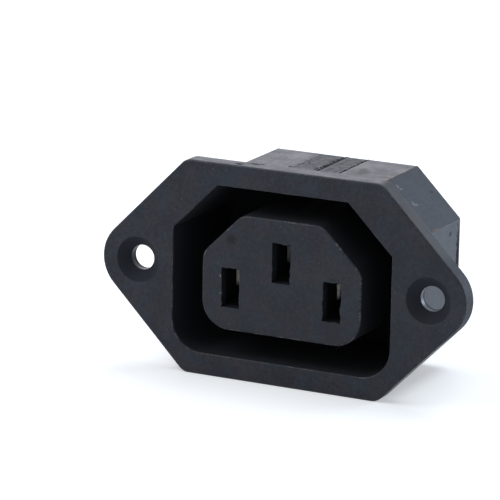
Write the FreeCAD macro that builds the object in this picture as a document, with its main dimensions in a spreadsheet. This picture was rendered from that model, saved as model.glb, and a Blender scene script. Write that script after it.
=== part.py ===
# Panel outlet for a three-pole appliance plug, screwed to a panel from the front.
#
# A six-sided flange with two countersunk ears carries a deep shroud. The plug's collar goes into the ring-shaped
# recess between the shroud and the island, and its three pins go through the island's slots into brass clips.
# The clips slide in from behind, and a rear cover traps their shoulders and snaps under two sprung tongues.
#
# Frame: X to the right seen from the front, Y from the front to the back, Z up. Millimetres.
# The origin is the centre of the flange's panel face, midway between the two screw holes.

import FreeCAD, Part
import math
import os
import Sketcher

from FreeCAD import Vector

doc = FreeCAD.newDocument("panel_outlet")

# name, value, what it measures
DIMENSIONS = [
    ("screw_pitch", 40.0, "between the two screw holes"),
    ("ear_radius", 5.0, "round ends of the flange, about the screw holes"),
    ("flange_height", 27.6, "flange, top edge to bottom edge"),
    ("flange_top_width", 26.9, "straight top edge, before its corners are rounded"),
    ("flange_thickness", 2.5, "front face to panel face"),
    ("flange_corner_radius", 1.8, "four obtuse corners of the flange"),
    ("flange_rim_radius", 0.25, "rounded front and back edges of the flange"),
    ("screw_hole_diameter", 3.2, "clearance hole for an M3 screw"),
    ("countersink_diameter", 6.0, "mouth of the countersink"),
    ("countersink_angle", 90.0, "degrees, whole cone"),
    ("shroud_width", 31.8, "outside of the shroud at the flange"),
    ("shroud_height", 23.8, "outside of the shroud at the flange"),
    ("shroud_chamfer", 6.05, "upper corners of the shroud, each way"),
    ("shroud_corner_radius", 4.9, "lower corners of the shroud"),
    ("shroud_depth", 16.7, "panel face to the back rim"),
    ("shroud_edge_radius", 0.3, "long edges and back rim of the shroud"),
    ("recess_width", 30.06, "recess for the plug's collar, at the front face"),
    ("recess_height", 21.9, "recess for the plug's collar, at the front face"),
    ("recess_chamfer", 6.1, "upper corners of the recess, each way"),
    ("recess_corner_radius", 4.0, "lower corners of the recess"),
    ("floor_thickness", 1.4, "recess's floor to the rear cover"),
    ("recess_lip_radius", 0.15, "rounded mouth of the recess"),
    ("island_width", 22.0, "island, at its front face"),
    ("island_height", 15.1, "island, at its front face"),
    ("island_chamfer", 5.45, "upper corners of the island, each way"),
    ("island_corner_radius", 3.7, "lower corners of the island"),
    ("island_blend_radius", 2.4, "where the island's chamfers meet its top and sides"),
    ("island_lip_radius", 0.35, "rounded front edge of the island"),
    ("island_setback", 0.15, "island's face behind the flange's face"),
    ("island_face_wall", 1.6, "thickness of the island's front wall"),
    ("pole_pitch", 14.0, "between the line and neutral slots"),
    ("pole_drop", 2.0, "line and neutral slots below the centre"),
    ("earth_rise", 2.0, "earth slot above the centre"),
    ("slot_width", 2.6, "pin slot"),
    ("slot_height", 5.2, "pin slot"),
    ("chamber_width", 3.8, "chamber that holds a contact"),
    ("chamber_height", 5.6, "chamber that holds a contact"),
    ("cover_thickness", 2.0, "rear cover, and the depth of its seat"),
    ("rim_wall", 1.0, "shroud's wall round the cover, at the flange's size"),
    ("cover_clearance", 0.1, "between the cover and its seat, all round"),
    ("cover_edge_radius", 0.25, "rounded back edge of the cover"),
    ("tongue_centre", 1.45, "sprung tongue, to the right of the middle"),
    ("slit_pitch", 3.05, "between the tongue's two slits"),
    ("slit_width", 0.3, "slit beside the tongue"),
    ("slit_length", 9.0, "slit, forward from the back rim"),
    ("slit_depth", 1.6, "slit, through the shroud's wall"),
    ("tongue_relief", 0.8, "gap that frees the tongue from the recess's floor"),
    ("catch_height", 0.3, "lug on the cover, above its edge"),
    ("catch_width", 1.8, "lug on the cover"),
    ("catch_length", 0.9, "lug on the cover, front to back"),
    ("catch_inset", 0.5, "lug's back end in front of the cover's back face"),
    ("catch_clearance", 0.12, "between the lug and its notch"),
    ("panel_left", 3.5, "sunken band's left edge, to the left of the middle"),
    ("panel_length", 9.4, "sunken band, forward from the back rim"),
    ("panel_sink", 0.05, "sunken band's depth"),
    ("strip_thickness", 0.4, "brass strip that a contact is folded from"),
    ("tab_height", 4.8, "terminal tab, which is two strips thick"),
    ("tab_length", 8.0, "terminal tab behind the cover"),
    ("tab_tip_chamfer", 0.9, "corners of the tab's tip"),
    ("tab_hole_diameter", 1.6, "hole through the tab"),
    ("tab_hole_inset", 3.0, "hole's centre from the tab's tip"),
    ("tab_slot_clearance", 0.25, "between a tab and its slot in the cover, all round"),
    ("shoulder_height", 6.4, "contact's shoulder, trapped by the cover"),
    ("shoulder_clearance", 0.05, "between a shoulder and its seat, above and below"),
    ("leaf_height", 4.6, "spring leaves of a contact"),
    ("leaf_spread", 1.7, "outside of a leaf from the contact's middle, at its widest"),
    ("spread_run", 2.0, "length over which the leaves spread"),
    ("parallel_run", 1.6, "length over which the spread leaves stay parallel"),
    ("pinch_half_gap", 0.8, "inside of a leaf from the middle, where it grips the pin"),
    ("pinch_inset", 2.6, "grip behind the mouth of the leaves"),
    ("mouth_half_gap", 1.3, "inside of a leaf from the middle, at its mouth"),
    ("mouth_inset", 3.6, "mouth of the leaves behind the island's front wall"),
    ("tip_height", 2.0, "spring leaves at their mouth"),
    ("tip_taper", 2.4, "length over which the leaves narrow to their tips"),
    ("bend_radius", 0.3, "inside of each bend in the strip"),
]

sheet = doc.addObject("Spreadsheet::Sheet", "Sizes")
for row, (alias, number, note) in enumerate(DIMENSIONS, start=1):
    sheet.set(f"A{row}", note)
    sheet.set(f"B{row}", str(number))
    sheet.setAlias(f"B{row}", alias)
doc.recompute()


class Size:
    """A number together with the sheet expression that gives it, so that sums of sizes stay bound to the sheet."""

    def __init__(self, number, text):
        self.number = number
        self.text = text

    @staticmethod
    def of(other):
        return other if isinstance(other, Size) else Size(other, str(other))

    def __add__(self, other):
        other = Size.of(other)
        return Size(self.number + other.number, f"({self.text} + {other.text})")

    def __sub__(self, other):
        other = Size.of(other)
        return Size(self.number - other.number, f"({self.text} - {other.text})")

    def __mul__(self, factor):
        return Size(self.number * factor, f"({self.text} * {factor})")

    def __neg__(self):
        return self * -1

    __rmul__ = __mul__

    def __truediv__(self, divisor):
        return Size(self.number / divisor, f"({self.text} / {divisor})")


def size(alias):
    """The named cell of the sheet."""
    return Size(float(sheet.get(alias)), f"Sizes.{alias}")


# Places along Y that several pieces share
front_face = -size("flange_thickness")
island_face = front_face + size("island_setback")
chamber_front = island_face + size("island_face_wall")
cover_front = size("shroud_depth") - size("cover_thickness")
recess_floor = cover_front - size("floor_thickness")
back_rim = size("shroud_depth")
tab_tip = back_rim + size("tab_length")

# Centres of the three poles in X and Z
POLES = {
    "line": (size("pole_pitch") / 2, -size("pole_drop")),
    "neutral": (-size("pole_pitch") / 2, -size("pole_drop")),
    "earth": (size("pole_pitch") * 0, size("earth_rise")),
}

# The cover's seat and the cover
seat_width = size("shroud_width") - 2 * size("rim_wall")
seat_height = size("shroud_height") - 2 * size("rim_wall")
seat_chamfer = size("shroud_chamfer") - size("rim_wall") * 0.5
seat_corner_radius = size("shroud_corner_radius") - size("rim_wall")
cover_width = seat_width - 2 * size("cover_clearance")
cover_height = seat_height - 2 * size("cover_clearance")


# Bodies, sketches and features


def new_body(label):
    body = doc.addObject("PartDesign::Body", label)
    body.Label = label
    return body


def origin_plane(body, role):
    return next(item for item in body.Origin.OriginFeatures if item.Role == role)


def new_sketch(body, name, role, offset):
    """A sketch parallel to one of the body's own planes. On XZ_Plane the offset is a place along Y."""
    sketch = body.newObject("Sketcher::SketchObject", name)
    sketch.AttachmentSupport = (origin_plane(body, role), [""])
    sketch.MapMode = "FlatFace"
    along_normal = -offset if role == "XZ_Plane" else offset
    sketch.setExpression("AttachmentOffset.Base.z", along_normal.text)
    doc.recompute()
    return sketch


def dimension(sketch, name, kind, *where, value):
    """A driving dimension of a sketch, bound to the sheet."""
    index = sketch.addConstraint(Sketcher.Constraint(kind, *where, value.number))
    sketch.renameConstraint(index, name)
    sketch.setExpression(f"Constraints.{name}", value.text)


def relate(sketch, *relations):
    for relation in relations:
        sketch.addConstraint(Sketcher.Constraint(*relation))


def feature(body, kind, name, sketch, **settings):
    """A PartDesign feature on a sketch. Sizes are bound to the sheet, and other settings are set as they are."""
    made = body.newObject(f"PartDesign::{kind}", name)
    made.Profile = sketch
    for key, value in settings.items():
        if isinstance(value, Size):
            made.setExpression(key, value.text)
        else:
            setattr(made, key, value)
    doc.recompute()
    sketch.Visibility = False
    return made


def volume(body):
    return body.Tip.Shape.Volume


def cut(body, name, sketch, **settings):
    """A pocket that has to take something away."""
    before = volume(body)
    made = feature(body, "Pocket", name, sketch, **settings)
    if made.Shape.Volume > before - 1e-6:
        raise RuntimeError(f"{name} cuts nothing")
    return made


def dress_edges(body, kind, name, measure, value, chosen):
    """A fillet or chamfer on the edges that the test chooses."""
    base = body.Tip
    edges = [f"Edge{n}" for n, edge in enumerate(base.Shape.Edges, start=1) if chosen(edge)]
    if not edges:
        raise RuntimeError(f"{name} finds no edge")
    made = body.newObject(f"PartDesign::{kind}", name)
    made.Base = (base, edges)
    made.setExpression(measure, value.text)
    doc.recompute()
    return made


def round_edges(body, name, radius, chosen):
    return dress_edges(body, "Fillet", name, "Radius", radius, chosen)


def chamfer_edges(body, name, reach, chosen):
    return dress_edges(body, "Chamfer", name, "Size", reach, chosen)


def ends(edge):
    return [vertex.Point for vertex in edge.Vertexes]


def at(value, wanted):
    return abs(value - wanted) < 0.02


def lies_at_y(edge, place):
    """True for an edge in the plane y = place."""
    box = edge.BoundBox
    return at(box.YMin, place.number) and at(box.YMax, place.number)


def runs_along_y(edge):
    """True for a straight edge that runs front to back."""
    box = edge.BoundBox
    return box.YLength > 0.1 and max(box.XLength, box.ZLength) < 0.001


# Outlines. A sketch's axes are numbered -1, across, and -2, upright, and point 1 of the first is its origin.


def keyed_outline(sketch, width, height, chamfer, radius):
    """The outline of an appliance coupler: cut off at the two upper corners and rounded at the two lower ones."""
    right, top = width.number / 2, height.number / 2
    cut_off, round_off = chamfer.number, radius.number
    corner = {
        "top_left": Vector(cut_off - right, top),
        "top_right": Vector(right - cut_off, top),
        "right_top": Vector(right, top - cut_off),
        "right_low": Vector(right, round_off - top),
        "low_right": Vector(right - round_off, -top),
        "low_left": Vector(round_off - right, -top),
        "left_low": Vector(-right, round_off - top),
        "left_top": Vector(-right, top - cut_off),
    }

    def line(start, end):
        return Part.LineSegment(corner[start], corner[end])

    def quarter(x, first_degrees):
        circle = Part.Circle(Vector(x, round_off - top), Vector(0, 0, 1), round_off)
        return Part.ArcOfCircle(circle, math.radians(first_degrees), math.radians(first_degrees + 90))

    upper, upper_right, right_side, right_arc, lower, left_arc, left_side, upper_left = range(8)
    sketch.addGeometry(
        [
            line("top_left", "top_right"),
            line("top_right", "right_top"),
            line("right_top", "right_low"),
            quarter(right - round_off, -90),
            line("low_right", "low_left"),
            quarter(round_off - right, 180),
            line("left_low", "left_top"),
            line("left_top", "top_left"),
        ]
    )
    relate(
        sketch,
        ("Coincident", upper, 2, upper_right, 1),
        ("Coincident", upper_right, 2, right_side, 1),
        ("Tangent", right_side, 2, right_arc, 2),
        ("Tangent", lower, 1, right_arc, 1),
        ("Tangent", lower, 2, left_arc, 2),
        ("Tangent", left_side, 1, left_arc, 1),
        ("Coincident", left_side, 2, upper_left, 1),
        ("Coincident", upper_left, 2, upper, 1),
        ("Horizontal", lower),
        ("Vertical", right_side),
        ("Vertical", left_side),
        ("Symmetric", upper, 1, upper, 2, -2),
        ("Symmetric", upper_right, 2, left_side, 2, -2),
        ("Equal", right_arc, left_arc),
    )
    dimension(sketch, "half_height", "DistanceY", -1, 1, upper, 1, value=height / 2)
    dimension(sketch, "height", "DistanceY", lower, 1, upper, 2, value=height)
    dimension(sketch, "width", "DistanceX", left_side, 1, right_side, 2, value=width)
    dimension(sketch, "chamfer_across", "DistanceX", upper, 2, upper_right, 2, value=chamfer)
    dimension(sketch, "chamfer_down", "DistanceY", upper_right, 2, upper, 2, value=chamfer)
    dimension(sketch, "corner_radius", "Radius", right_arc, value=radius)


def flange_outline(sketch):
    """Six sides, with the two side corners rounded about the screw holes."""
    half_top, half_height = size("flange_top_width").number / 2, size("flange_height").number / 2
    hole, ear = size("screw_pitch").number / 2, size("ear_radius").number
    corner = Vector(half_top - hole, half_height)
    touch = math.atan2(corner.y, corner.x) - math.acos(ear / corner.Length)
    touch_x, touch_y = hole + ear * math.cos(touch), ear * math.sin(touch)

    def line(x1, y1, x2, y2):
        return Part.LineSegment(Vector(x1, y1), Vector(x2, y2))

    def ear_arc(x, middle):
        circle = Part.Circle(Vector(x, 0), Vector(0, 0, 1), ear)
        return Part.ArcOfCircle(circle, middle - touch, middle + touch)

    upper, upper_right, right_ear, lower_right, lower, lower_left, left_ear, upper_left = range(8)
    sketch.addGeometry(
        [
            line(-half_top, half_height, half_top, half_height),
            line(half_top, half_height, touch_x, touch_y),
            ear_arc(hole, 0),
            line(touch_x, -touch_y, half_top, -half_height),
            line(half_top, -half_height, -half_top, -half_height),
            line(-half_top, -half_height, -touch_x, -touch_y),
            ear_arc(-hole, math.pi),
            line(-touch_x, touch_y, -half_top, half_height),
        ]
    )
    relate(
        sketch,
        ("Coincident", upper, 2, upper_right, 1),
        ("Tangent", upper_right, 2, right_ear, 2),
        ("Tangent", lower_right, 1, right_ear, 1),
        ("Coincident", lower_right, 2, lower, 1),
        ("Coincident", lower, 2, lower_left, 1),
        ("Tangent", lower_left, 2, left_ear, 2),
        ("Tangent", upper_left, 1, left_ear, 1),
        ("Coincident", upper_left, 2, upper, 1),
        ("Symmetric", upper, 1, upper, 2, -2),
        ("Symmetric", lower, 1, lower, 2, -2),
        ("Symmetric", upper, 2, lower, 1, -1),
        ("PointOnObject", right_ear, 3, -1),
        ("Symmetric", right_ear, 3, left_ear, 3, -2),
        ("Equal", right_ear, left_ear),
    )
    dimension(sketch, "top_width", "DistanceX", upper, 1, upper, 2, value=size("flange_top_width"))
    dimension(sketch, "height", "DistanceY", lower, 1, upper, 2, value=size("flange_height"))
    dimension(sketch, "screw_pitch", "DistanceX", left_ear, 3, right_ear, 3, value=size("screw_pitch"))
    dimension(sketch, "ear_radius", "Radius", right_ear, value=size("ear_radius"))


def rectangle(sketch, name, left, low, width, height):
    """A rectangle by its lower left corner, in the sketch's own two directions."""
    first = sketch.GeometryCount
    x, y = left.number, low.number
    points = [
        Vector(x, y),
        Vector(x + width.number, y),
        Vector(x + width.number, y + height.number),
        Vector(x, y + height.number),
    ]
    sketch.addGeometry([Part.LineSegment(points[n], points[(n + 1) % 4]) for n in range(4)])
    bottom, right, top, left_side = range(first, first + 4)
    relate(
        sketch,
        ("Coincident", bottom, 2, right, 1),
        ("Coincident", right, 2, top, 1),
        ("Coincident", top, 2, left_side, 1),
        ("Coincident", left_side, 2, bottom, 1),
        ("Horizontal", bottom),
        ("Horizontal", top),
        ("Vertical", right),
        ("Vertical", left_side),
    )
    dimension(sketch, f"{name}_left", "DistanceX", -1, 1, bottom, 1, value=left)
    dimension(sketch, f"{name}_low", "DistanceY", -1, 1, bottom, 1, value=low)
    dimension(sketch, f"{name}_width", "DistanceX", bottom, 1, bottom, 2, value=width)
    dimension(sketch, f"{name}_height", "DistanceY", right, 1, right, 2, value=height)


def polygon(sketch, name, points):
    """A closed outline through corners that are each placed from the sketch's origin."""
    first, count = sketch.GeometryCount, len(points)
    corners = [Vector(x.number, y.number) for x, y in points]
    sketch.addGeometry([Part.LineSegment(corners[n], corners[(n + 1) % count]) for n in range(count)])
    relate(sketch, *[("Coincident", first + n, 2, first + (n + 1) % count, 1) for n in range(count)])
    for n, (x, y) in enumerate(points):
        dimension(sketch, f"{name}_across_{n}", "DistanceX", -1, 1, first + n, 1, value=x)
        dimension(sketch, f"{name}_along_{n}", "DistanceY", -1, 1, first + n, 1, value=y)


def pole_rectangles(sketch, width, height):
    """One rectangle about the centre of each pole."""
    for pole, (x, z) in POLES.items():
        rectangle(sketch, pole, x - width / 2, z - height / 2, width, height)


# The housing: flange, shroud and island in one moulding


def flange(body):
    outline = new_sketch(body, "flange_outline", "XZ_Plane", size("flange_thickness") * 0)
    flange_outline(outline)
    feature(body, "Pad", "flange", outline, Length=size("flange_thickness"))
    corner_x = size("flange_top_width").number / 2
    round_edges(
        body,
        "flange_corners",
        size("flange_corner_radius"),
        lambda edge: runs_along_y(edge) and at(abs(ends(edge)[0].x), corner_x),
    )
    round_edges(body, "flange_front_rim", size("flange_rim_radius"), lambda edge: lies_at_y(edge, front_face))
    panel_face = Size(0, "0")
    round_edges(body, "flange_back_rim", size("flange_rim_radius"), lambda edge: lies_at_y(edge, panel_face))


def shroud(body):
    outline = new_sketch(body, "shroud_outline", "XZ_Plane", size("flange_thickness") * 0)
    keyed_outline(
        outline,
        size("shroud_width"),
        size("shroud_height"),
        size("shroud_chamfer"),
        size("shroud_corner_radius"),
    )
    feature(body, "Pad", "shroud", outline, Length=size("shroud_depth"), Reversed=True)
    edge_radius = size("shroud_edge_radius")
    round_edges(
        body,
        "shroud_long_edges",
        edge_radius,
        lambda edge: runs_along_y(edge) and at(edge.BoundBox.YMax, back_rim.number) and edge.BoundBox.ZMin > 0,
    )
    round_edges(body, "shroud_back_rim", edge_radius, lambda edge: lies_at_y(edge, back_rim))


def plug_recess(body):
    outline = new_sketch(body, "recess_outline", "XZ_Plane", front_face)
    keyed_outline(
        outline,
        size("recess_width"),
        size("recess_height"),
        size("recess_chamfer"),
        size("recess_corner_radius"),
    )
    cut(body, "plug_recess", outline, Length=recess_floor - front_face)
    inside = size("recess_width").number / 2 + 0.1
    round_edges(
        body,
        "recess_lip",
        size("recess_lip_radius"),
        lambda edge: lies_at_y(edge, front_face) and edge.BoundBox.XMax < inside and edge.BoundBox.XMin > -inside
        and max(abs(edge.BoundBox.ZMin), abs(edge.BoundBox.ZMax)) < size("recess_height").number / 2 + 0.1,
    )


def island(body):
    outline = new_sketch(body, "island_outline", "XZ_Plane", island_face)
    keyed_outline(
        outline,
        size("island_width"),
        size("island_height"),
        size("island_chamfer"),
        size("island_corner_radius"),
    )
    feature(body, "Pad", "island", outline, Length=recess_floor - island_face, Reversed=True)
    right, top = size("island_width").number / 2, size("island_height").number / 2
    round_edges(
        body,
        "island_blends",
        size("island_blend_radius"),
        lambda edge: runs_along_y(edge)
        and (at(abs(edge.BoundBox.XMax), right) or at(edge.BoundBox.ZMax, top))
        and edge.BoundBox.ZMin > 0,
    )
    round_edges(body, "island_lip", size("island_lip_radius"), lambda edge: lies_at_y(edge, island_face))


def contact_chambers(body):
    seat = new_sketch(body, "cover_seat_outline", "XZ_Plane", back_rim)
    keyed_outline(seat, seat_width, seat_height, seat_chamfer, seat_corner_radius)
    cut(body, "cover_seat", seat, Length=size("cover_thickness"), Reversed=True)

    chambers = new_sketch(body, "chamber_outlines", "XZ_Plane", cover_front)
    pole_rectangles(chambers, size("chamber_width"), size("chamber_height"))
    cut(body, "contact_chambers", chambers, Length=cover_front - chamber_front, Reversed=True)

    shoulders = new_sketch(body, "shoulder_seat_outlines", "XZ_Plane", cover_front)
    shoulder_seat = size("shoulder_height") + 2 * size("shoulder_clearance")
    pole_rectangles(shoulders, size("chamber_width"), shoulder_seat)
    cut(body, "shoulder_seats", shoulders, Length=cover_front - recess_floor, Reversed=True)

    slots = new_sketch(body, "slot_outlines", "XZ_Plane", island_face)
    pole_rectangles(slots, size("slot_width"), size("slot_height"))
    cut(body, "pin_slots", slots, Length=size("island_face_wall"))


def screw_holes(body):
    centres = new_sketch(body, "screw_centres", "XZ_Plane", front_face)
    for side in (1, -1):
        place = Vector(side * size("screw_pitch").number / 2, 0)
        centres.addGeometry(Part.Circle(place, Vector(0, 0, 1), size("screw_hole_diameter").number / 2))
    relate(
        centres,
        ("PointOnObject", 0, 3, -1),
        ("Symmetric", 0, 3, 1, 3, -2),
        ("Equal", 0, 1),
    )
    dimension(centres, "screw_pitch", "DistanceX", 1, 3, 0, 3, value=size("screw_pitch"))
    dimension(centres, "hole", "Diameter", 0, value=size("screw_hole_diameter"))
    before = volume(body)
    holes = feature(body, "Hole", "screw_holes", centres)
    holes.DepthType = "ThroughAll"
    holes.HoleCutType = "Countersink"
    holes.HoleCutCustomValues = True
    holes.setExpression("Diameter", size("screw_hole_diameter").text)
    holes.setExpression("HoleCutDiameter", size("countersink_diameter").text)
    holes.setExpression("HoleCutCountersinkAngle", size("countersink_angle").text)
    doc.recompute()
    if volume(body) > before - 1:
        raise RuntimeError("the screw holes cut nothing")


def latch_tongues(body):
    """Two slits free a tongue in the shroud's upper wall, and the lower wall has the same."""
    tongue_centre, slit_pitch, slit_width = size("tongue_centre"), size("slit_pitch"), size("slit_width")
    outer_wall = size("shroud_height") / 2
    slits = new_sketch(body, "slit_outlines", "XY_Plane", outer_wall)
    for name, side in (("left", -0.5), ("right", 0.5)):
        left = tongue_centre + slit_pitch * side - slit_width / 2
        rectangle(slits, name, left, back_rim - size("slit_length"), slit_width, size("slit_length"))
    slit_cut = cut(body, "tongue_slits", slits, Length=size("slit_depth"))

    relief = new_sketch(body, "relief_outline", "XY_Plane", size("recess_height") / 2)
    span = slit_pitch + slit_width
    rectangle(relief, "gap", tongue_centre - span / 2, recess_floor, span, cover_front - recess_floor)
    relief_cut = cut(body, "tongue_relief", relief, Length=size("tongue_relief"))

    notch = new_sketch(body, "notch_outline", "XY_Plane", seat_height / 2 - size("cover_clearance"))
    room = size("catch_clearance")
    notch_width = size("catch_width") + 2 * room
    notch_length = size("catch_length") + 2 * room
    notch_back = back_rim - size("catch_inset") + room
    rectangle(notch, "notch", tongue_centre - notch_width / 2, notch_back - notch_length, notch_width, notch_length)
    notch_cut = cut(
        body,
        "catch_notch",
        notch,
        Length=size("catch_height") + room + size("cover_clearance"),
        Reversed=True,
    )

    lower = body.newObject("PartDesign::Mirrored", "lower_tongue")
    lower.Originals = [slit_cut, relief_cut, notch_cut]
    lower.MirrorPlane = (origin_plane(body, "XY_Plane"), [""])
    body.Tip = lower
    doc.recompute()


def sunken_band(body):
    """A shallow band on the top of the shroud, from its left edge to the tongue's right slit."""
    right = size("tongue_centre") + size("slit_pitch") / 2
    band = new_sketch(body, "band_outline", "XY_Plane", size("shroud_height") / 2 - size("panel_sink"))
    length = size("panel_length")
    rectangle(band, "band", -size("panel_left"), back_rim - length, right + size("panel_left"), length + 1)
    cut(body, "sunken_band", band, Length=size("panel_sink") * 4, Reversed=True)


def build_housing():
    body = new_body("housing")
    flange(body)
    shroud(body)
    plug_recess(body)
    island(body)
    contact_chambers(body)
    screw_holes(body)
    latch_tongues(body)
    sunken_band(body)
    return body


# The rear cover


def build_rear_cover():
    body = new_body("rear_cover")
    outline = new_sketch(body, "cover_outline", "XZ_Plane", cover_front)
    keyed_outline(outline, cover_width, cover_height, seat_chamfer, seat_corner_radius)
    feature(body, "Pad", "plate", outline, Length=size("cover_thickness"), Reversed=True)
    round_edges(body, "plate_rim", size("cover_edge_radius"), lambda edge: lies_at_y(edge, back_rim))

    slots = new_sketch(body, "tab_slot_outlines", "XZ_Plane", cover_front)
    room = 2 * size("tab_slot_clearance")
    pole_rectangles(slots, 2 * size("strip_thickness") + room, size("tab_height") + room)
    cut(body, "tab_slots", slots, Length=size("cover_thickness"))

    catch = new_sketch(body, "catch_outline", "YZ_Plane", size("tongue_centre"))
    edge = cover_height / 2
    back = back_rim - size("catch_inset")
    front = back - size("catch_length")
    catch_profile(catch, front, back, edge, size("catch_height"))
    lug = feature(body, "Pad", "catch", catch, Length=size("catch_width"), Midplane=True)
    lower = body.newObject("PartDesign::Mirrored", "lower_catch")
    lower.Originals = [lug]
    lower.MirrorPlane = (origin_plane(body, "XY_Plane"), [""])
    body.Tip = lower
    doc.recompute()
    return body


def catch_profile(sketch, front, back, edge, height):
    """A wedge with its foot a little inside the cover's edge: it slopes up from the front and drops at the back."""
    foot = edge - height
    polygon(sketch, "catch", [(front, foot), (back, foot), (back, edge + height), (front, edge)])


# The contacts: a strip of brass folded on itself, which makes the tab, and spread into two leaves that grip a pin


def leaf_outline(sketch):
    """One half of a contact seen from above: half of the tab, and one leaf from its root to its mouth."""
    strip, spread = size("strip_thickness"), size("leaf_spread")
    mouth = chamber_front + size("mouth_inset")
    pinch = mouth + size("pinch_inset")
    root = recess_floor
    wide_back = root - size("spread_run")
    wide_front = wide_back - size("parallel_run")
    rise, run = (spread - strip).number, size("spread_run").number
    slant_shift = strip * ((math.hypot(rise, run) - run) / rise)
    outer = [
        (strip * 0, tab_tip),
        (strip, tab_tip),
        (strip, root),
        (spread, wide_back),
        (spread, wide_front),
        (size("pinch_half_gap") + strip, pinch),
        (size("mouth_half_gap") + strip, mouth),
    ]
    inner = [
        (size("mouth_half_gap"), mouth),
        (size("pinch_half_gap"), pinch),
        (spread - strip, wide_front),
        (spread - strip, wide_back - slant_shift),
        (strip * 0, root - slant_shift),
    ]
    polygon(sketch, "half", outer + inner)
    inside = [outer[2], inner[2], inner[3], outer[5]]
    outside = [inner[1], outer[3], outer[4]]
    return mouth, inside, outside


def upright_at(edge, corners):
    """True for an upright edge at one of these places in X and Y."""
    box = edge.BoundBox
    upright = box.ZLength > 0.1 and max(box.XLength, box.YLength) < 0.001
    return upright and any(at(box.XMin, x.number) and at(box.YMin, y.number) for x, y in corners)


def build_contact(pole):
    body = new_body(f"{pole}_contact")
    half = new_sketch(body, "leaf_outline", "XY_Plane", size("tab_height") * 0)
    mouth, inside, outside = leaf_outline(half)
    strip = feature(body, "Pad", "strip", half, Length=size("shoulder_height"), Midplane=True)
    inner_bends = round_edges(body, "inner_bends", size("bend_radius"), lambda edge: upright_at(edge, inside))
    outer_radius = size("bend_radius") + size("strip_thickness")
    outer_bends = round_edges(body, "outer_bends", outer_radius, lambda edge: upright_at(edge, outside))
    both = body.newObject("PartDesign::Mirrored", "both_leaves")
    both.Originals = [strip, inner_bends, outer_bends]
    both.MirrorPlane = (origin_plane(body, "YZ_Plane"), [""])
    body.Tip = both
    doc.recompute()

    trim = new_sketch(body, "trim_outlines", "YZ_Plane", size("tab_height") * 0)
    top = size("shoulder_height") / 2 + size("shoulder_clearance")
    tip_edge, leaf_edge, tab_edge = size("tip_height") / 2, size("leaf_height") / 2, size("tab_height") / 2
    before_mouth = mouth - size("shoulder_clearance")
    tab_run = tab_tip - cover_front + size("shoulder_clearance")
    over_leaf = [
        (before_mouth, tip_edge),
        (mouth, tip_edge),
        (mouth + size("tip_taper"), leaf_edge),
        (recess_floor, leaf_edge),
        (recess_floor, top),
        (before_mouth, top),
    ]
    polygon(trim, "over_leaf", over_leaf)
    polygon(trim, "under_leaf", [(y, -z) for y, z in over_leaf])
    rectangle(trim, "over_tab", cover_front, tab_edge, tab_run, top - tab_edge)
    rectangle(trim, "under_tab", cover_front, -top, tab_run, top - tab_edge)
    cut(body, "trim", trim, Type="ThroughAll", Midplane=True)

    hole = new_sketch(body, "tab_hole_outline", "YZ_Plane", size("tab_height") * 0)
    hole_place = tab_tip - size("tab_hole_inset")
    centre = Vector(hole_place.number, 0)
    hole.addGeometry(Part.Circle(centre, Vector(0, 0, 1), size("tab_hole_diameter").number / 2))
    relate(hole, ("PointOnObject", 0, 3, -1))
    dimension(hole, "place", "DistanceX", -1, 1, 0, 3, value=hole_place)
    dimension(hole, "diameter", "Diameter", 0, value=size("tab_hole_diameter"))
    cut(body, "tab_hole", hole, Type="ThroughAll", Midplane=True)

    chamfer_edges(
        body,
        "tab_tip",
        size("tab_tip_chamfer"),
        lambda edge: lies_at_y(edge, tab_tip) and edge.BoundBox.ZLength < 0.001,
    )

    x, z = POLES[pole]
    body.setExpression("Placement.Base.x", x.text)
    body.setExpression("Placement.Base.z", z.text)
    doc.recompute()
    return body


# Build, check and write every piece

pieces = [build_housing(), build_rear_cover()]
for pole in POLES:
    pieces.append(build_contact(pole))
doc.recompute()

for item in doc.Objects:
    if "Invalid" in item.State or "Error" in item.State:
        raise RuntimeError(f"{item.Label} is in state {item.State}")

os.makedirs("parts", exist_ok=True)
for piece in pieces:
    shape = piece.Shape
    if shape.isNull() or not shape.isValid() or not shape.Solids:
        raise RuntimeError(f"{piece.Label} has no valid solid")
    shape.exportStep(f"parts/{piece.Label}.step")
    print(f"{piece.Label}: {len(shape.Solids)} solid, {len(shape.Faces)} faces, {shape.Volume:.1f} mm3")
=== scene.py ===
import math
import random
import bpy
import bmesh
from mathutils import Matrix, Vector


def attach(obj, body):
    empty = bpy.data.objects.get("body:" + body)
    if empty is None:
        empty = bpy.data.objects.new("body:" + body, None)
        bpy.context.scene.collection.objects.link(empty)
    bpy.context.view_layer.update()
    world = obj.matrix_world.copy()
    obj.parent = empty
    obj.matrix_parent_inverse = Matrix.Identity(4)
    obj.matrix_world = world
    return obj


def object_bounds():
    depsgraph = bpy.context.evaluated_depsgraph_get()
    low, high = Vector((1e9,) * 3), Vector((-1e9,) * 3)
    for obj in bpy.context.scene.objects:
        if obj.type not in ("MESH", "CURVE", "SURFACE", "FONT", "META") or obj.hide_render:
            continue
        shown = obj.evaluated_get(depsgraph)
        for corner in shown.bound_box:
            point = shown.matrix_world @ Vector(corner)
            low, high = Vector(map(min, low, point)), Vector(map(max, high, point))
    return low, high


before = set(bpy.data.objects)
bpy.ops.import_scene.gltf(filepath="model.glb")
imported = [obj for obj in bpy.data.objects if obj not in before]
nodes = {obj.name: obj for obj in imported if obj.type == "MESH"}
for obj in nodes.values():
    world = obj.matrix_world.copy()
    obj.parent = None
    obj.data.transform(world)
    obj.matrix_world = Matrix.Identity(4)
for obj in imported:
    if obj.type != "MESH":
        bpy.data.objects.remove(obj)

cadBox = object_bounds()
print("frame loaded:", ", ".join(sorted(nodes)))

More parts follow.
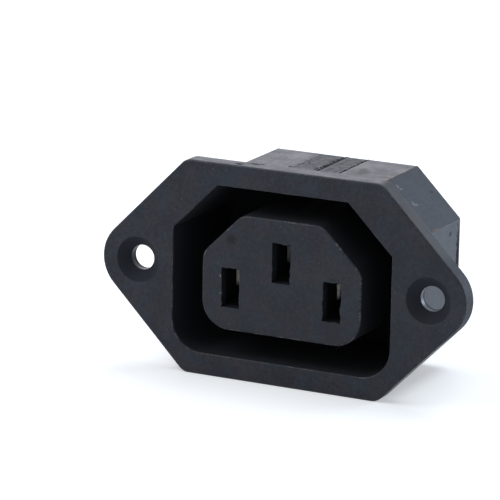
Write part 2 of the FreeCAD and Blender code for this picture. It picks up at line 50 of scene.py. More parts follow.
# Lengths are in metres, angles in degrees, and colours are linear.
# A pattern is a noise's scale, one over the size of its marks, then its detail and how strong that is.
# A cover is the pair of noise values between which a mark fades in.
# A turn is how far a face looks along one axis, from 0 to 1, given as the pair between which it counts.

crisp = 0.00003     # how far a sharp border between two finishes fades


def newMaterial(name):
    material = bpy.data.materials.new(name)
    material.use_nodes = True
    tree = material.node_tree
    return material, tree, tree.nodes["Principled BSDF"]


def addNode(tree, kind, settings=None, **links):
    # settings fill sockets or properties, and links come from other nodes' outputs
    node = tree.nodes.new("ShaderNode" + kind)
    for key, value in (settings or {}).items():
        if key in node.inputs:
            node.inputs[key].default_value = value
        else:
            setattr(node, key, value)
    for key, source in links.items():
        tree.links.new(source, node.inputs[key.replace("_", " ")])
    return node


def sums(tree, operation, *terms):
    # one Math node; a term is a number or another node's output
    node = tree.nodes.new("ShaderNodeMath")
    node.operation = operation
    for socket, term in zip(node.inputs, terms):
        if isinstance(term, (int, float)):
            socket.default_value = term
        else:
            tree.links.new(term, socket)
    return node.outputs["Value"]


def product(tree, first, *others):
    for term in others:
        first = sums(tree, "MULTIPLY", first, term)
    return first


def fade(tree, source, low, high, start=0.0, end=1.0):
    # runs smoothly from start to end while the source runs from low to high
    node = tree.nodes.new("ShaderNodeMapRange")
    node.interpolation_type = "SMOOTHSTEP"
    tree.links.new(source, node.inputs["Value"])
    for key, value in (("From Min", low), ("From Max", high), ("To Min", start), ("To Max", end)):
        node.inputs[key].default_value = value
    return node.outputs["Result"]


def between(tree, source, low, high, soft):
    rise = fade(tree, source, low - soft, low + soft)
    fall = fade(tree, source, high - soft, high + soft, 1.0, 0.0)
    return sums(tree, "MULTIPLY", rise, fall)


def below(tree, source, limit, soft=crisp):
    return fade(tree, source, limit - soft, limit, 1.0, 0.0)


def towardsValue(tree, factor, source, target):
    # the source where the factor is 0, the target where it is 1
    gap = sums(tree, "SUBTRACT", target, source)
    return sums(tree, "MULTIPLY_ADD", gap, factor, source)


def blend(tree, factor, first, second):
    # mixes two colours, each a tuple or an output; inputs 6 and 7 and output 2 are the node's colours
    node = tree.nodes.new("ShaderNodeMix")
    node.data_type = "RGBA"
    tree.links.new(factor, node.inputs["Factor"])
    for socket, colour in ((node.inputs[6], first), (node.inputs[7], second)):
        if isinstance(colour, tuple):
            socket.default_value = (*colour, 1)
        else:
            tree.links.new(colour, socket)
    return node.outputs[2]


def noise(tree, place, scale, detail=2.0, roughness=0.5):
    # scale is a number, or three numbers for marks that are longer one way
    if isinstance(scale, tuple):
        place = addNode(tree, "Mapping", {"Scale": scale}, Vector=place).outputs["Vector"]
        scale = 1.0
    settings = {"Scale": scale, "Detail": detail, "Roughness": roughness}
    return addNode(tree, "TexNoise", settings, Vector=place).outputs["Fac"]


def swing(tree, place, pattern):
    # noise about zero, from -0.5 to 0.5
    return sums(tree, "SUBTRACT", noise(tree, place, *pattern), 0.5)


def dots(tree, place, scale, core, reach):
    # scattered round marks: solid to the core and gone at the reach, and each of its own strength
    cells = addNode(tree, "TexVoronoi", {"Scale": scale}, Vector=place)
    mark = fade(tree, cells.outputs["Distance"], core, reach, 1.0, 0.0)
    strength = addNode(tree, "SeparateXYZ", Vector=cells.outputs["Color"]).outputs["X"]
    return sums(tree, "MULTIPLY", mark, strength)


def surfacePoint(tree):
    # where a point of the surface lies, and how far it faces sideways, forward or back, and up
    coordinates = addNode(tree, "TexCoord")
    place = coordinates.outputs["Object"]
    spot = addNode(tree, "SeparateXYZ", Vector=place)
    normal = addNode(tree, "SeparateXYZ", Vector=coordinates.outputs["Normal"])
    return {
        "place": place,
        "across": spot.outputs["X"],
        "along": spot.outputs["Y"],
        "upright": spot.outputs["Z"],
        "sideTurn": normal.outputs["X"],
        "frontTurn": normal.outputs["Y"],
        "upTurn": normal.outputs["Z"],
    }


plastic = {
    "dark": (0.0118, 0.0140, 0.0202),
    "pale": (0.0232, 0.0298, 0.0415),
    "warm": (0.0305, 0.0285, 0.0368),
    "hue": (330, 2, 0.6),
    "hueCover": (0.42, 0.58),
    "cloud": (260, 3, 0.6),
    "mottle": (1700, 3, 0.6),
    "fine": (6800, 1),
    "streak": ((2600, 160, 2600), 2),
    "toneShares": {"cloud": 0.30, "mottle": 0.28, "fine": 0.30, "streak": 0.12},
    "toneCover": (0.43, 0.57),  # nearer together is stronger
    "roughness": (0.38, 0.52),
    "smudges": ((300, 900, 300), 3, 0.6),
    "smudgeDepth": 0.24,        # how far they change the roughness
    "specular": 0.24,
    "bloom": 0.005,             # the pale film that shows at a low angle
    "bloomSpread": 0.5,
    "bloomColour": (0.78, 0.85, 1.0),
    "grain": (6500, 2),
    "grainHeight": 0.000012,
    "specks": [                 # pits, then dust: scale, core, reach and colour
        (640, 0.03, 0.06, (0.003, 0.003, 0.004)),
        (1150, 0.0475, 0.095, (0.095, 0.100, 0.110)),
    ],
}


def paintPlastic(tree, place):
    # the moulded black with its pits and dust; returns its colour and its roughness
    tone = 0.0
    for layer, share in plastic["toneShares"].items():
        tone = sums(tree, "MULTIPLY_ADD", noise(tree, place, *plastic[layer]), share, tone)
    hue = fade(tree, noise(tree, place, *plastic["hue"]), *plastic["hueCover"])
    pale = blend(tree, hue, plastic["pale"], plastic["warm"])
    colour = blend(tree, fade(tree, tone, *plastic["toneCover"]), plastic["dark"], pale)
    for scale, core, reach, tint in plastic["specks"]:
        colour = blend(tree, dots(tree, place, scale, core, reach), colour, tint)
    rough = fade(tree, tone, *plastic["toneCover"], *plastic["roughness"])
    smudge = swing(tree, place, plastic["smudges"])
    rough = sums(tree, "MULTIPLY_ADD", smudge, plastic["smudgeDepth"], rough)
    return colour, rough


# the recess, the slots and the countersinks, without scuffs: their darker colour is painted shade, and
# the screw bores' pale colour is a painted reflection
inner = {
    # painted shade: the recess's walls darker than the plastic
    "colour": (0.0050, 0.0060, 0.0092),
    "roughness": 0.92,
    "halfWidth": 0.01512,       # the recess's walls lie within these
    "halfHeight": 0.01105,
    "upperCorner": 0.0205,      # across plus up, between the recess's cut-off corner and the shroud's
    "lowerCorner": 0.0243,      # across plus down, between the two rounded corners
    "depth": (-0.00232, -0.00205),  # where it starts, just behind the front, and where it is full
    "lip": 0.00045,             # how far round the recess its lip is worn and painted with a highlight
    "rimWear": 0.35,            # how much of that wear and painted highlight the flange's own rim has
}

screwPlace = 0.020              # screw holes, to either side of the middle
holes = [
    {                           # the cone for the screw's head, darkened with painted shade
        "colour": (0.0135, 0.0158, 0.0225),
        "roughness": 0.80,
        "radius": 0.00297,
        "back": -0.00006,
    },
    {                           # the straight part behind it, smoother, and pale with a painted reflection
        "colour": (0.103, 0.108, 0.118),
        "roughness": 0.42,
        "radius": 0.00163,
        "back": -0.00035,
    },
]


def recessZone(tree, point, margin):
    # 1 within the recess's outline, grown by the margin
    side = sums(tree, "ABSOLUTE", point["across"])
    level = sums(tree, "ABSOLUTE", point["upright"])
    upper = sums(tree, "ADD", side, point["upright"])
    lower = sums(tree, "ADD", side, level)
    return product(
        tree,
        below(tree, side, inner["halfWidth"] + margin),
        below(tree, level, inner["halfHeight"] + margin),
        below(tree, upper, inner["upperCorner"] + margin),
        below(tree, lower, inner["lowerCorner"] + margin),
    )


def fromScrew(tree, point):
    # distance from the nearer screw's axis
    aside = sums(tree, "SUBTRACT", sums(tree, "ABSOLUTE", point["across"]), screwPlace)
    squares = [sums(tree, "POWER", term, 2.0) for term in (aside, point["upright"])]
    return sums(tree, "SQRT", sums(tree, "ADD", *squares))


def paintInsideShadeAndReflection(tree, point, colour, rough):
    # painted shade darkens the recess and the cones, and a painted reflection makes the bores pale
    recess = product(tree, recessZone(tree, point, 0.0), fade(tree, point["along"], *inner["depth"]))
    finishes = [(recess, inner)]
    away = fromScrew(tree, point)
    for hole in holes:
        zone = product(tree, below(tree, away, hole["radius"]), below(tree, point["along"], hole["back"]))
        finishes.append((zone, hole))
    for zone, finish in finishes:
        colour = blend(tree, zone, colour, finish["colour"])
        rough = towardsValue(tree, zone, rough, finish["roughness"])
    return colour, rough


# pale, broken wear along the rounded edges, partly a painted highlight on them
wear = {
    "colour": (0.125, 0.125, 0.130),
    "brown": (0.105, 0.080, 0.062),
    "broken": (620, 4, 0.7),
    "cover": (0.46, 0.62),
    "specks": (3400, 2),
    "speckCover": (0.44, 0.60),
    "speckFloor": 0.15,         # the wear that is left between its specks
    "stains": (310, 2),
    "stainCover": (0.56, 0.64),
    "rimTurn": (0.25, 0.93),    # forward or back
    "rimSoft": 0.06,
    "screwClear": (0.0031, 0.003193),   # none on the countersinks' cones
}


def wearAndHighlightRims(tree, point, colour):
    place = point["place"]
    rim = between(tree, sums(tree, "ABSOLUTE", point["frontTurn"]), *wear["rimTurn"], wear["rimSoft"])
    clear = fade(tree, fromScrew(tree, point), *wear["screwClear"])
    broken = fade(tree, noise(tree, place, *wear["broken"]), *wear["cover"])
    speck = fade(tree, noise(tree, place, *wear["specks"]), *wear["speckCover"], wear["speckFloor"], 1.0)
    lip = fade(tree, recessZone(tree, point, inner["lip"]), 0.0, 1.0, inner["rimWear"], 1.0)
    stained = fade(tree, noise(tree, place, *wear["stains"]), *wear["stainCover"])
    tint = blend(tree, stained, wear["colour"], wear["brown"])
    # the pale tint on the rims is wear and painted highlight
    return blend(tree, product(tree, rim, clear, broken, speck, lip), colour, tint)


# the shroud's sides, painted paler: a painted highlight where the side light falls
litShroudSides = {
    "colour": (0.062, 0.072, 0.100),
    "share": 0.52,
    "turn": (0.5, 0.95),        # sideways
    "front": 0.0003,            # full from here back
}

# the shroud's long edges, its chamfers and the ears' sides: how rough they are, and where
dulled = {
    "edge": 0.82,
    "edgeColour": (0.045, 0.037, 0.033),
    "edgeTurns": [(0.79, 0.96), (0.10, 0.62)],  # sideways: rounded, below a chamfer and above it
    "patches": (850, 3, 0.6),
    "cover": (0.36, 0.52),
    "chamfer": 0.63,
    "chamferTurn": (0.66, 0.76),
    "turnSoft": 0.03,
    "upTurn": (0.2, 0.3),
    "ear": 0.68,
    "earPlace": (0.0205, 0.0230),
    "earTurn": (0.4, 0.7),      # forward or back, past which it is the ear's face
}


def paintSideHighlight(tree, point, colour):
    aside = sums(tree, "ABSOLUTE", point["sideTurn"])
    # painted highlight: the sideways faces made paler
    share = fade(tree, aside, *litShroudSides["turn"], 0.0, litShroudSides["share"])
    behind = fade(tree, point["along"], 0.0, litShroudSides["front"])
    return blend(tree, product(tree, share, behind), colour, litShroudSides["colour"])


def dullEdges(tree, point, colour, rough):
    aside = sums(tree, "ABSOLUTE", point["sideTurn"])
    behind = fade(tree, point["along"], 0.0, litShroudSides["front"])
    upper = fade(tree, point["upTurn"], *dulled["upTurn"])
    slanted = between(tree, aside, *dulled["chamferTurn"], dulled["turnSoft"])
    rough = towardsValue(tree, product(tree, slanted, behind, upper), rough, dulled["chamfer"])

    rounds = [between(tree, aside, *turn, dulled["turnSoft"]) for turn in dulled["edgeTurns"]]
    patches = fade(tree, noise(tree, point["place"], *dulled["patches"]), *dulled["cover"])
    edge = product(tree, sums(tree, "ADD", *rounds), behind, patches, upper)
    rough = towardsValue(tree, edge, rough, dulled["edge"])
    colour = blend(tree, edge, colour, dulled["edgeColour"])

    outward = fade(tree, sums(tree, "ABSOLUTE", point["across"]), *dulled["earPlace"])
    turned = fade(tree, sums(tree, "ABSOLUTE", point["frontTurn"]), *dulled["earTurn"], 1.0, 0.0)
    rough = towardsValue(tree, product(tree, outward, turned), rough, dulled["ear"])
    return colour, rough


# single marks: where they are, how far they reach along each axis, their colour and their roughness
paleScuff = ((0.085, 0.095, 0.112), 0.55)
brownScuff = ((0.085, 0.064, 0.052), 0.7)
darkPit = ((0.004, 0.004, 0.005), 0.95)
faintPit = ((0.012, 0.012, 0.014), 0.72)
shade = ((0.018, 0.019, 0.022), 0.56)
burr = ((0.22, 0.22, 0.21), 0.6)
marks = {
    "pattern": (3000, 3, 0.7),
    "raggedness": 2.4,          # how far the pattern pushes a mark's edge, in reaches
    "edge": (1.7, 2.5),
    "list": [
        ((0.01073, 0.00827, 0.01102), (0.00035, 0.0003, 0.00035), paleScuff),
        ((0.01110, 0.00860, 0.01065), (0.00015, 0.0005, 0.00015), paleScuff),
        ((0.01150, 0.00680, 0.01025), (0.00045, 0.0002, 0.00045), paleScuff),
        ((0.01280, 0.00867, 0.00895), (0.00035, 0.0003, 0.00035), paleScuff),
        ((0.01300, 0.00920, 0.00875), (0.00015, 0.0005, 0.00015), paleScuff),
        ((0.01240, 0.00600, 0.00935), (0.00090, 0.0001, 0.00090), paleScuff),
        ((0.01257, 0.01491, 0.00918), (0.00018, 0.0005, 0.00018), faintPit),
        ((0.01580, 0.00900, 0.00588), (0.0003, 0.0011, 0.0002), brownScuff),
        ((0.01590, 0.01346, 0.00446), (0.0002, 0.0004, 0.00030), faintPit),
        ((0.01590, 0.01590, 0.00050), (0.0004, 0.0005, 0.0045), darkPit),
        ((-0.00644, -0.00160, 0.01380), (0.0005, 0.0004, 0.0003), darkPit),
        ((-0.00473, -0.00060, 0.01380), (0.0006, 0.0003, 0.0003), darkPit),
        ((-0.00377, -0.00030, 0.01380), (0.0004, 0.0003, 0.0003), darkPit),
        ((-0.00690, -0.00235, 0.00430), (0.0007, 0.0003, 0.0007), faintPit),
        ((0.00905, 0.00850, 0.01190), (0.0009, 0.0003, 0.0003), brownScuff),
        ((0.00540, 0.00950, 0.01190), (0.0008, 0.0012, 0.0003), shade),
        ((0.00480, 0.01090, 0.01190), (0.0005, 0.0008, 0.0003), shade),
        ((-0.00391, 0.00791, 0.01190), (0.0003, 0.0003, 0.0003), darkPit),
        ((-0.00840, -0.00235, -0.00065), (0.00007, 0.0003, 0.00020), burr),
        ((-0.00834, -0.00235, -0.00283), (0.00007, 0.0003, 0.00010), burr),
    ],
}


def addMarks(tree, place, colour, rough):
    ragged = sums(tree, "MULTIPLY", noise(tree, place, *marks["pattern"]), marks["raggedness"])
    for spot, reach, (tint, dullness) in marks["list"]:
        offset = addNode(tree, "VectorMath", {"operation": "SUBTRACT"})
        tree.links.new(place, offset.inputs[0])
        offset.inputs[1].default_value = spot
        scaled = addNode(tree, "VectorMath", {"operation": "DIVIDE"})
        tree.links.new(offset.outputs["Vector"], scaled.inputs[0])
        scaled.inputs[1].default_value = reach
        far = addNode(tree, "VectorMath", {"operation": "LENGTH"})
        tree.links.new(scaled.outputs["Vector"], far.inputs[0])
        rim = sums(tree, "ADD", far.outputs["Value"], ragged)
        mark = fade(tree, rim, *marks["edge"], 1.0, 0.0)
        colour = blend(tree, mark, colour, tint)
        rough = towardsValue(tree, mark, rough, dullness)
    return colour, rough


# the band on the shroud's top that stayed rough
band = {
    "left": -0.0035,
    "right": 0.00298,
    "soft": 0.0007,             # how far its left end fades, to either side
    "front": (0.0072, 0.0082),
    "level": (0.0109, 0.0111),  # only above this
    "ragged": (1000, 4, 0.7),
    "raggedSide": 0.0032,       # how far its left end wanders, and its front
    "raggedFront": 0.0016,
    "colour": (0.040, 0.043, 0.048),
    "share": 0.6,
    "patches": ((1600, 900, 1600), 4, 0.7),
    "patchCover": (0.35, 0.65),
    "roughness": (0.50, 0.72),
    "grain": (3200, 3, 0.7),
    "grainHeight": 0.00004,
    "step": (0.24, 0.25, 0.28),  # its left edge's low step, painted pale as a highlight
    "stepTurn": (0.6, 0.9),     # to the right
    "stepReach": 0.0002,
}

# chips beside the tongue's left slit, painted near-black as the shade in their hollows
chips = {
    "centre": -0.00042,
    "halfWidth": 0.00045,
    "ends": (0.0080, 0.0150),
    "soft": 0.0002,
    "level": (0.0115, 0.0116),  # only above this
    "pattern": ((1700, 1100, 1700), 2),
    "cover": (0.50, 0.54),
    "colour": (0.0035, 0.0035, 0.004),
    "roughness": 0.95,
}


def roughenBand(tree, point, colour, rough, surface):
    place = point["place"]
    across = point["across"]
    ragged = swing(tree, place, band["ragged"])
    shifted = sums(tree, "MULTIPLY_ADD", ragged, band["raggedSide"], across)
    moved = sums(tree, "MULTIPLY_ADD", ragged, band["raggedFront"], point["along"])
    above = fade(tree, point["upright"], *band["level"])
    zone = product(
        tree,
        fade(tree, shifted, band["left"] - band["soft"], band["left"] + band["soft"]),
        below(tree, across, band["right"]),
        fade(tree, moved, *band["front"]),
        above,
    )
    colour = blend(tree, sums(tree, "MULTIPLY", zone, band["share"]), colour, band["colour"])
    patchy = fade(tree, noise(tree, place, *band["patches"]), *band["patchCover"], *band["roughness"])
    rough = towardsValue(tree, zone, rough, patchy)
    coarse = noise(tree, place, *band["grain"])
    settings = {"Distance": band["grainHeight"]}
    torn = addNode(tree, "Bump", settings, Strength=zone, Height=coarse, Normal=surface)

    # painted highlight: the step's wall, which faces right, made pale
    aside = sums(tree, "ABSOLUTE", sums(tree, "SUBTRACT", across, band["left"]))
    facing = fade(tree, point["sideTurn"], *band["stepTurn"])
    step = product(tree, facing, above, below(tree, aside, band["stepReach"]))
    colour = blend(tree, step, colour, band["step"])
    return colour, rough, torn.outputs["Normal"]


def paintChipShade(tree, point, colour, rough):
    near = sums(tree, "ABSOLUTE", sums(tree, "SUBTRACT", point["across"], chips["centre"]))
    zone = product(
        tree,
        below(tree, near, chips["halfWidth"], chips["soft"]),
        fade(tree, point["upright"], *chips["level"]),
        between(tree, point["along"], *chips["ends"], chips["soft"]),
        fade(tree, noise(tree, point["place"], *chips["pattern"]), *chips["cover"]),
    )
    # painted shade: the chips' near-black colour
    colour = blend(tree, zone, colour, chips["colour"])
    return colour, towardsValue(tree, zone, rough, chips["roughness"])


def makePlastic(name, isHousing):
    material, tree, shader = newMaterial(name)
    point = surfacePoint(tree)
    place = point["place"]
    colour, rough = paintPlastic(tree, place)
    if isHousing:
        colour = paintSideHighlight(tree, point, colour)
    colour = wearAndHighlightRims(tree, point, colour)
    grain = noise(tree, place, *plastic["grain"])
    settings = {"Strength": 1.0, "Distance": plastic["grainHeight"]}
    surface = addNode(tree, "Bump", settings, Height=grain).outputs["Normal"]
    if isHousing:
        colour, rough = dullEdges(tree, point, colour, rough)
        colour, rough = paintInsideShadeAndReflection(tree, point, colour, rough)
        colour, rough = addMarks(tree, place, colour, rough)
        colour, rough, surface = roughenBand(tree, point, colour, rough, surface)
        colour, rough = paintChipShade(tree, point, colour, rough)

    tree.links.new(colour, shader.inputs["Base Color"])
    tree.links.new(rough, shader.inputs["Roughness"])
    tree.links.new(surface, shader.inputs["Normal"])
    shader.inputs["Specular IOR Level"].default_value = plastic["specular"]
    shader.inputs["Sheen Weight"].default_value = plastic["bloom"]
    shader.inputs["Sheen Roughness"].default_value = plastic["bloomSpread"]
    shader.inputs["Sheen Tint"].default_value = (*plastic["bloomColour"], 1)
    return material


brass = {
    "colour": (0.98, 0.96, 0.86),
    "dullColour": (0.80, 0.77, 0.66),
    "tabColour": (0.66, 0.65, 0.60),
    "tab": (0.0140, 0.0150),    # where the bare tab begins, and where it is full
    "leafShade": (0.16, 0.15, 0.13),     # painted shade on the lower part of a leaf's tip
    "leafShadeReach": (-0.0011, -0.0002),
    "leafShadeBack": 0.0060,
    "leafShadeSoft": 0.001,
    "blotches": (900, 5),
    "blotchCover": (0.35, 0.65),
    "roughness": (0.68, 0.50),
    "roughCover": (0.3, 0.7),
    "contacts": {               # material, the pole's height, and how far painted shade darkens its whole inside
        "line_contact": ("lineBrass", -0.002, 0.0),
        "neutral_contact": ("neutralBrass", -0.002, 0.0),
        "earth_contact": ("earthBrass", 0.002, 0.78),
    },
}


def makeBrass(name, level, insideShade):
    material, tree, shader = newMaterial(name)
    place = addNode(tree, "TexCoord").outputs["Object"]
    spot = addNode(tree, "SeparateXYZ", Vector=place)
    along = spot.outputs["Y"]
    blotch = noise(tree, place, *brass["blotches"])
    colour = blend(tree, fade(tree, blotch, *brass["blotchCover"]), brass["dullColour"], brass["colour"])
    lower, upper = brass["leafShadeReach"]
    # painted shade: the lower part of each leaf's tip darker, and the earth contact's whole inside
    low = fade(tree, spot.outputs["Z"], level + lower, level + upper, 1.0, insideShade)
    leafShade = sums(tree, "MULTIPLY", low, below(tree, along, brass["leafShadeBack"], brass["leafShadeSoft"]))
    colour = blend(tree, leafShade, colour, brass["leafShade"])
    colour = blend(tree, fade(tree, along, *brass["tab"]), colour, brass["tabColour"])
    tree.links.new(colour, shader.inputs["Base Color"])
    rough = fade(tree, blotch, *brass["roughCover"], *brass["roughness"])
    tree.links.new(rough, shader.inputs["Roughness"])
    shader.inputs["Metallic"].default_value = 1.0
    return material


def dressNodes():
    finishes = {
        "housing": makePlastic("mouldedBlack", True),
        "rear_cover": makePlastic("coverBlack", False),
    }
    for contact, values in brass["contacts"].items():
        finishes[contact] = makeBrass(*values)
    for name, piece in nodes.items():
        piece.data.materials.clear()
        piece.data.materials.append(finishes[name])
    print("materials set")


def makeTorn(name, first, second, roughness, specular):
    # torn plastic, mottled between two colours
    material, tree, shader = newMaterial(name)
    place = addNode(tree, "TexCoord").outputs["Object"]
    tone = noise(tree, place, *plastic["mottle"])
    tree.links.new(blend(tree, tone, first, second), shader.inputs["Base Color"])
    shader.inputs["Roughness"].default_value = roughness
    shader.inputs["Specular IOR Level"].default_value = specular
    return material


def addPiece(name, form, material):
    bmesh.ops.recalc_face_normals(form, faces=form.faces)
    mesh = bpy.data.meshes.new(name)
    form.to_mesh(mesh)
    form.free()
    mesh.materials.append(material)
    piece = bpy.data.objects.new(name, mesh)
    bpy.context.scene.collection.objects.link(piece)
    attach(piece, "root")


# flash left round the pin slots and along the tongue's slits
flash = {
    "slotCentres": [(-0.0070, -0.0020), (0.0, 0.0020), (0.0070, -0.0020)],
    "slotSize": (0.0026, 0.0052),
    "slotLevel": -0.00234,
    "slotReach": (0.0, 0.00034),
    "slitCentres": [-0.000075, 0.002975],
    "slitSize": (0.0003, 0.0090),
    "slitBack": 0.0167,
    "slitLevel": 0.01184,
    "slitReach": (0.0, 0.00009),
    "seat": 0.00004,            # how far it is rooted in the wall
    "rim": 0.000048,            # the width of the sheet where no tooth stands
    "thick": 0.00012,
    "step": 0.00022,            # between two teeth
    "firstPull": 0.5,
    "hold": 0.62,               # how much of a tooth's length the next one keeps
    "sharpness": 3,             # higher leaves fewer long teeth
    "mostWidth": 0.42,          # of the opening, for a tooth from its long side
    "colour": (0.026, 0.028, 0.033),
    "roughness": 0.5,
    "seed": 7,
}


def tornFrame(form, width, length, reach, matrix, rng):
    # a thin frame in an opening, rooted in its walls, with a torn inner edge
    verts = bmesh.ops.create_grid(form, x_segments=1, y_segments=1, size=0.5)["verts"]     # 1 by 1
    outer = (width + 2 * flash["seat"], length + 2 * flash["seat"], 1)
    bmesh.ops.scale(form, verts=verts, vec=outer)
    sheet = verts[0].link_faces[0]
    for edge in list(sheet.edges):
        cuts = max(1, int(edge.calc_length() / flash["step"]))
        bmesh.ops.subdivide_edges(form, edges=[edge], cuts=cuts)
    ring = bmesh.ops.inset_region(
        form,
        faces=[sheet],
        thickness=flash["rim"],
        use_boundary=True,
        use_even_offset=True,
    )
    low, high = reach
    drift = flash["firstPull"]
    for vert in sheet.verts:
        drift = flash["hold"] * drift + (1 - flash["hold"]) * rng.random()
        pull = low + (high - low) * drift ** flash["sharpness"]
        x, y = vert.co.x, vert.co.y
        if width / 2 - abs(x) < length / 2 - abs(y):
            vert.co.x = x - math.copysign(min(pull, width * flash["mostWidth"]), x)
        else:
            vert.co.y = y - math.copysign(pull, y)
    bmesh.ops.delete(form, geom=[sheet], context="FACES_ONLY")
    frameFaces = ring["faces"]
    thickened = bmesh.ops.extrude_face_region(form, geom=frameFaces)
    moved = [item for item in thickened["geom"] if isinstance(item, bmesh.types.BMVert)]
    bmesh.ops.translate(form, verts=moved, vec=(0, 0, -flash["thick"]))
    every = list({vert for face in frameFaces for vert in face.verts} | set(moved))
    bmesh.ops.transform(form, matrix=matrix, verts=every)


def makeFlashPieces():
    material = makeTorn(
        "tornBlack",
        plastic["pale"],
        flash["colour"],
        flash["roughness"],
        plastic["specular"],
    )
    rng = random.Random(flash["seed"])
    form = bmesh.new()
    width, height = flash["slotSize"]
    facing = Matrix.Rotation(math.radians(90), 4, "X")
    for x, z in flash["slotCentres"]:
        place = Matrix.Translation((x, flash["slotLevel"], z)) @ facing
        tornFrame(form, width, height, flash["slotReach"], place, rng)
    addPiece("slot_flash", form, material)

    form = bmesh.new()
    width, length = flash["slitSize"]
    for x in flash["slitCentres"]:
        place = Matrix.Translation((x, flash["slitBack"] - length / 2, flash["slitLevel"]))
        tornFrame(form, width, length, flash["slitReach"], place, rng)
    addPiece("slit_flash", form, material)
    print("flash made")


# torn bits that stand beside both of the tongue's slits, and a few to their left; their near-black colour
# is painted shade
crumbs = {
    "lines": [                  # how many, nearest and farthest from the middle, front and back
        (10, (-0.00022, -0.00040), (0.0090, 0.0160)),
        (7, (0.00286, 0.00279), (0.0095, 0.0163)),
    ],
    "strays": [(-0.00280, 0.01100), (-0.00300, 0.01165), (-0.00328, 0.01288)],
    "level": 0.01185,
    "radius": (0.00006, 0.00016),
    "uneven": (0.75, 1.25),
    "stretch": (0.8, 1.5, 0.5),
    "turn": 0.6,                # at most, in radians, to either side
    # painted shade: darker than the housing's plastic
    "colour": (0.004, 0.004, 0.0045),
    "roughness": 0.9,
    "specular": 0.10,
    "seed": 11,
}


def makeCrumbs():
    material = makeTorn(
        "crumbBlack",
        crumbs["colour"],
        plastic["dark"],
        crumbs["roughness"],
        crumbs["specular"],
    )
    rng = random.Random(crumbs["seed"])
    places = list(crumbs["strays"])
    for count, (near, far), (front, back) in crumbs["lines"]:
        for n in range(count):
            along = front + (back - front) * (n + rng.random()) / count
            places.append((near + (far - near) * rng.random(), along))
    form = bmesh.new()
    for x, y in places:
        radius = rng.uniform(*crumbs["radius"])
        made = bmesh.ops.create_icosphere(form, subdivisions=2, radius=radius)["verts"]
        for vert in made:
            vert.co *= rng.uniform(*crumbs["uneven"])
        bmesh.ops.scale(form, verts=made, vec=crumbs["stretch"])
        turn = Matrix.Rotation(rng.uniform(-crumbs["turn"], crumbs["turn"]), 3, "Z")
        bmesh.ops.rotate(form, verts=made, matrix=turn)
        bmesh.ops.translate(form, verts=made, vec=(x, y, crumbs["level"]))
    addPiece("slit_crumbs", form, material)
    print("crumbs made")


stage = {
    "size": 3.0,
    "colour": (0.85, 0.85, 0.86, 1),
    "roughness": 0.9,
    "lift": (0.35, 1.0),        # added for the camera, near and far off, where the lamps no longer reach
    "distance": (0.32, 1.1),
}


def backdropRays(tree):
    # 1 for a ray that sees the white background: from the camera, or by way of gloss or glass
    rays = addNode(tree, "LightPath").outputs
    seen = sums(tree, "MAXIMUM", rays["Is Camera Ray"], rays["Is Glossy Ray"])
    return sums(tree, "MAXIMUM", seen, rays["Is Transmission Ray"])


def makeFloor():
    mesh = bpy.data.meshes.new("floor")
    form = bmesh.new()
    bmesh.ops.create_grid(form, x_segments=1, y_segments=1, size=stage["size"])
    bmesh.ops.translate(form, verts=form.verts, vec=(0, 0, cadBox[0].z))
    form.to_mesh(mesh)
    form.free()
    floor = bpy.data.objects.new("floor", mesh)
    bpy.context.scene.collection.objects.link(floor)
    material, tree, shader = newMaterial("paleFloor")
    shader.inputs["Base Color"].default_value = stage["colour"]
    shader.inputs["Roughness"].default_value = stage["roughness"]
    shader.inputs["Specular IOR Level"].default_value = 0.0
    away = addNode(tree, "VectorMath", {"operation": "LENGTH"})
    tree.links.new(addNode(tree, "TexCoord").outputs["Object"], away.inputs[0])
    lift = fade(tree, away.outputs["Value"], *stage["distance"], *stage["lift"])
    glow = addNode(tree, "Emission", Strength=sums(tree, "MULTIPLY", backdropRays(tree), lift))
    both = addNode(tree, "AddShader")
    tree.links.new(shader.outputs["BSDF"], both.inputs[0])
    tree.links.new(glow.outputs["Emission"], both.inputs[1])
    tree.links.new(both.outputs["Shader"], tree.nodes["Material Output"].inputs["Surface"])
    mesh.materials.append(material)


light = {
    "surround": 0.30,           # what diffuse colour gets from all round
    "tint": (0.93, 0.965, 1.0),
    "backdrop": 1.0,            # what the camera, glossy and transmission rays see
}


def makeWorld():
    world = bpy.data.worlds.new("studio")
    world.use_nodes = True
    bpy.context.scene.world = world
    tree = world.node_tree
    dim = tree.nodes["Background"]
    dim.inputs["Color"].default_value = (*light["tint"], 1)
    dim.inputs["Strength"].default_value = light["surround"]
    white = addNode(tree, "Background", {"Color": (1, 1, 1, 1), "Strength": light["backdrop"]})
    mix = addNode(tree, "MixShader", Fac=backdropRays(tree))
    tree.links.new(dim.outputs["Background"], mix.inputs[1])
    tree.links.new(white.outputs["Background"], mix.inputs[2])
    tree.links.new(mix.outputs["Shader"], tree.nodes["World Output"].inputs["Surface"])


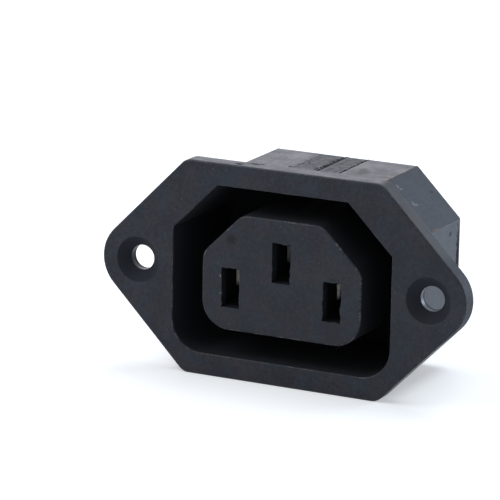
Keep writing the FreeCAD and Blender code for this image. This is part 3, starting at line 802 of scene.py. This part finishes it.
# each lamp as seen from the part: azimuth 0 is in front and 90 to the right; size is across and up
lamps = {
    "front": {
        "azimuth": -52,
        "elevation": 48,
        "distance": 0.20,
        "size": (0.12, 0.12),
        "power": 0.16,
        "colour": (0.88, 0.94, 1.0),
    },
    "top": {
        "azimuth": 170,
        "elevation": 75,
        "distance": 0.7,
        "size": (0.5, 0.5),
        "power": 2.9,
        "colour": (0.88, 0.94, 1.0),
    },
    "backLeft": {
        "azimuth": 208,
        "elevation": 16,
        "distance": 0.9,
        "size": (0.5, 0.5),
        "power": 0.90,
        "colour": (0.88, 0.85, 1.0),
    },
    "right": {
        "azimuth": 146,
        "elevation": 9,
        "distance": 0.9,
        "size": (0.5, 0.26),
        "power": 4.8,
        "colour": (0.68, 0.84, 1.0),
    },
}


def towards(azimuth, elevation):
    # the unit vector from the part to what is seen from it at this angle
    azimuth = math.radians(azimuth)
    elevation = math.radians(elevation)
    level = math.cos(elevation)
    return Vector((math.sin(azimuth) * level, -math.cos(azimuth) * level, math.sin(elevation)))


def makeLamps():
    for name, lamp in lamps.items():
        panel = bpy.data.lights.new(name, "AREA")
        panel.shape = "RECTANGLE"
        panel.size, panel.size_y = lamp["size"]
        panel.energy = lamp["power"]
        panel.color = lamp["colour"]
        holder = bpy.data.objects.new(name, panel)
        direction = towards(lamp["azimuth"], lamp["elevation"])
        holder.location = direction * lamp["distance"]
        holder.rotation_euler = direction.to_track_quat("Z", "Y").to_euler()
        holder.visible_camera = False
        bpy.context.scene.collection.objects.link(holder)


shot = {
    "azimuth": 26.19,
    "elevation": 14.34,
    "roll": 1.09,
    "distance": 0.448,
    "target": (-0.00425, -0.0025, 0.00328),
    "lens": 259.8,
    "sensor": 36.0,
    "clip": (0.01, 20),
}


def makeCamera():
    back = towards(shot["azimuth"], shot["elevation"])
    level = Vector((0, 0, 1)).cross(back).normalized()
    upright = back.cross(level)
    roll = math.radians(shot["roll"])
    right = math.cos(roll) * level + math.sin(roll) * upright
    up = math.cos(roll) * upright - math.sin(roll) * level
    camera = bpy.data.cameras.new("camera")
    camera.lens = shot["lens"]
    camera.sensor_width = shot["sensor"]
    camera.clip_start, camera.clip_end = shot["clip"]
    holder = bpy.data.objects.new("camera", camera)
    place = Matrix((right, up, back)).transposed().to_4x4()
    place.translation = Vector(shot["target"]) + back * shot["distance"]
    holder.matrix_world = place
    bpy.context.scene.collection.objects.link(holder)
    bpy.context.scene.camera = holder


dressNodes()
makeFlashPieces()
makeCrumbs()
makeFloor()
makeWorld()
makeLamps()
makeCamera()
bpy.context.scene.view_settings.view_transform = "Standard"
print("stage, light and camera set")
